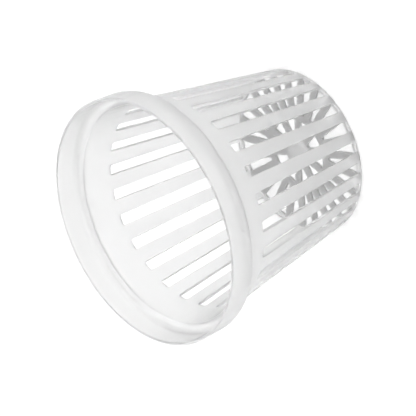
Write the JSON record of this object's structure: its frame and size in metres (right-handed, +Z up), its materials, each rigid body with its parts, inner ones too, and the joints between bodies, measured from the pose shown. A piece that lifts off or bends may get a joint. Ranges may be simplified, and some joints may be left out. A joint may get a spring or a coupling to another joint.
{
  "type": "hydroponic net pot",
  "caption": "Translucent tapered plastic net pot with a stepped collar, long wall slots and a spoked open floor, for holding a plant in a hole above water.",
  "frame": {"origin": "middle of the floor's underside, on the pot's axis", "axes": "+Z up the pot's axis towards its mouth, -Y through the middle of a wall slot"},
  "size_m": [0.056, 0.056, 0.048],
  "materials": {
    "milky_plastic": "satin, natural translucent polypropylene"
  },
  "bodies": {
    "root": {"net_pot": "milky_plastic"}
  },
  "joints": []
}
